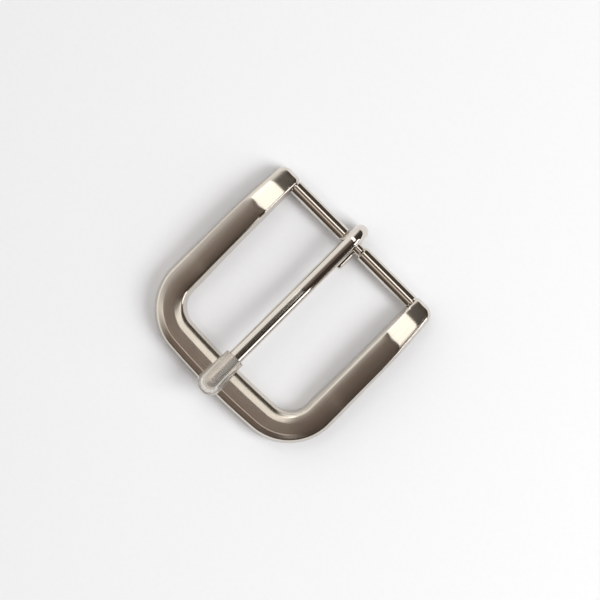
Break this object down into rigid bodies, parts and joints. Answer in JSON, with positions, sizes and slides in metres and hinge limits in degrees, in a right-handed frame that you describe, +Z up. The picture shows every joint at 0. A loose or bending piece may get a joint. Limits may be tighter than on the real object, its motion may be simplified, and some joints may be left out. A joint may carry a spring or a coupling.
{
  "type": "belt buckle",
  "caption": "Single-prong belt buckle for a 35 mm dress strap: open-ended cast frame, turned hinge bar, hooked prong and clear plastic sleeve on the prong's tip.",
  "frame": {"origin": "under the middle of the whole buckle, in the plane of the table that it rests on", "axes": "+X along the hinge bar, +Y from the front bar towards the hinge bar, +Z up, away from the wearer's waist"},
  "size_m": [0.0502, 0.0512, 0.0115],
  "materials": {
    "satin_nickel": "satin brushed nickel plate on a zinc casting",
    "polished_nickel": "polished nickel plate on steel",
    "clear_vinyl": "clear soft vinyl, slightly milky"
  },
  "bodies": {
    "frame": {"frame": "satin_nickel", "hinge_bar": "polished_nickel"},
    "prong": {"prong": "polished_nickel"},
    "tip_sleeve": {"tip_sleeve": "clear_vinyl"}
  },
  "joints": [
    {"name": "prong_swing", "type": "hinge", "parent": "frame", "child": "prong", "pos_m": [0, 0.02087, 0.0036], "axis": [-1, 0, 0], "range_deg": [0, 172]},
    {"name": "sleeve_pull", "type": "slide", "parent": "prong", "child": "tip_sleeve", "axis": [0, -0.9956, 0.0932], "range_m": [0, 0.01]}
  ]
}
